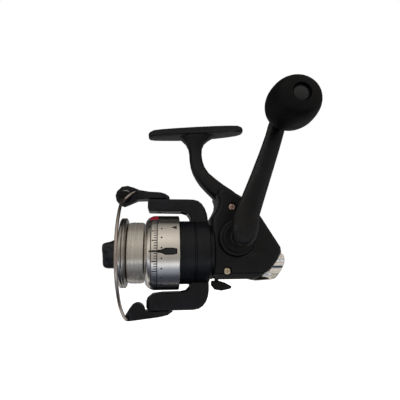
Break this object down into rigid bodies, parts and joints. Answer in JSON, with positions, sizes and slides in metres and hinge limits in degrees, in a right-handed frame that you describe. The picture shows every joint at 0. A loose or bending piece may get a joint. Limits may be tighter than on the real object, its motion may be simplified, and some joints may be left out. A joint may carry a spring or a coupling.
{
  "type": "spinning reel",
  "caption": "Spinning fishing reel with foot and stem, geared crank handle, spinning rotor with folding bail and line roller, stroking spool with drag, and line.",
  "frame": {"origin": "middle of the foot's flat top face, which lies against the rod", "axes": "+X runs back along the rod, away from the spool; +Z points from the foot into the rod; the handle is on the -Y side. The spool's axis is tilted 5 degrees, so that its front end is nearer the rod."},
  "size_m": [0.1134, 0.0973, 0.1121],
  "materials": {
    "black_plastic": "satin, with a faint blue cast",
    "painted_arm": "satin black paint on cast metal",
    "chrome_plate": "bright plating",
    "silver_spool": "metallised silver",
    "steel": "polished",
    "cast_metal": "cast, dull",
    "brass": "machined",
    "clear_line": "clear nylon line in close turns",
    "felt": "pressed felt",
    "white_plastic": "plain moulded"
  },
  "bodies": {
    "body": {"body_housing": "black_plastic", "side_cover": "black_plastic", "rear_cap": "chrome_plate", "cover_screw_1": "brass", "cover_screw_2": "brass", "rear_cap_screw": "steel", "handle_bearing_near": "steel", "handle_bearing_far": "steel", "pinion_bearing_front": "steel", "pinion_bearing_rear": "steel", "pawl_pin": "steel"},
    "handle": {"handle_shaft": "steel", "drive_gear": "cast_metal", "oscillation_pinion": "steel", "handle_collar": "steel", "handle_arm": "painted_arm", "handle_cap": "black_plastic", "knob_pin": "steel", "knob_washer": "white_plastic"},
    "knob": {"handle_knob": "black_plastic", "knob_cap": "black_plastic"},
    "rotor": {"rotor": "black_plastic", "pinion_gear": "brass", "ratchet_wheel": "steel", "rotor_nut": "brass", "arm_cover_upper": "black_plastic", "arm_cover_lower": "black_plastic", "bail_spring": "steel", "bail_arm_screw": "steel", "bail_lever_screw": "steel", "trip_pin": "steel"},
    "bail": {"bail_arm": "black_plastic", "bail_lever": "black_plastic", "bail_wire": "steel", "roller_screw": "steel", "roller_bush": "brass"},
    "roller": {"line_roller": "chrome_plate"},
    "trip": {"trip_lever": "steel"},
    "shaft": {"main_shaft": "steel", "slider": "cast_metal", "slider_screw": "steel", "click_wheel": "white_plastic", "spool_seat_washer": "white_plastic", "drag_nut": "brass", "drag_spring": "steel", "drag_plate": "steel", "drag_pressure_washer": "steel"},
    "spool": {"spool": "silver_spool", "spool_lip_ring": "chrome_plate", "line_winding": "clear_line", "line_clip": "black_plastic", "drag_felt_rear": "felt", "drag_felt_front": "felt", "drag_retainer": "steel"},
    "drag": {"drag_knob": "black_plastic"},
    "switch": {"anti_reverse_lever": "black_plastic"},
    "pawl": {"anti_reverse_pawl": "steel"},
    "oscillator": {"oscillation_gear": "white_plastic"}
  },
  "joints": [
    {"name": "handle_crank", "type": "hinge", "parent": "body", "child": "handle", "pos_m": [0.01527, 0, -0.07211], "axis": [0, 1, 0], "continuous": true},
    {"name": "rotor_spin", "type": "hinge", "parent": "body", "child": "rotor", "pos_m": [-0.01029, 0, -0.0774], "axis": [0.9962, 0, -0.0872], "continuous": true},
    {"name": "oscillator_spin", "type": "hinge", "parent": "body", "child": "oscillator", "pos_m": [0.02396, 0, -0.083], "axis": [0, 1, 0], "continuous": true},
    {"name": "spool_stroke", "type": "slide", "parent": "body", "child": "shaft", "axis": [0.9962, 0, -0.0872], "range_m": [-0.007, 0.004]},
    {"name": "spool_slip", "type": "hinge", "parent": "shaft", "child": "spool", "pos_m": [-0.03519, 0, -0.07522], "axis": [0.9962, 0, -0.0872], "continuous": true},
    {"name": "drag_turn", "type": "hinge", "parent": "shaft", "child": "drag", "pos_m": [-0.05511, 0, -0.07348], "axis": [0.9962, 0, -0.0872], "range_deg": [-180, 180]},
    {"name": "bail_swing", "type": "hinge", "parent": "rotor", "child": "bail", "pos_m": [-0.02971, 0, -0.0757], "axis": [-0.0872, 0, -0.9962], "range_deg": [0, 105]},
    {"name": "roller_turn", "type": "hinge", "parent": "bail", "child": "roller", "pos_m": [-0.04668, -0.0032, -0.04018], "axis": [-0.0298, -0.9397, -0.3407], "continuous": true},
    {"name": "trip_turn", "type": "hinge", "parent": "rotor", "child": "trip", "pos_m": [-0.02057, 0, -0.1032], "axis": [0.0872, 0, 0.9962], "range_deg": [0, 10]},
    {"name": "knob_spin", "type": "hinge", "parent": "handle", "child": "knob", "pos_m": [0.03859, -0.06, -0.01442], "axis": [0, 1, 0], "continuous": true},
    {"name": "anti_reverse_switch", "type": "hinge", "parent": "body", "child": "switch", "pos_m": [-0.00221, 0, -0.08834], "axis": [0.9962, 0, -0.0872], "range_deg": [0, 20]},
    {"name": "pawl_lift", "type": "hinge", "parent": "body", "child": "pawl", "pos_m": [-0.01151, 0.0084, -0.08572], "axis": [0.9962, 0, -0.0872], "range_deg": [0, 12]}
  ],
  "couplings": [
    {"joint": "rotor_spin", "follows": "handle_crank", "ratio": -5.1667},
    {"joint": "oscillator_spin", "follows": "handle_crank", "ratio": -0.66667},
    {"joint": "trip_turn", "follows": "bail_swing", "ratio": 0.09},
    {"joint": "pawl_lift", "follows": "anti_reverse_switch", "ratio": 0.6}
  ]
}
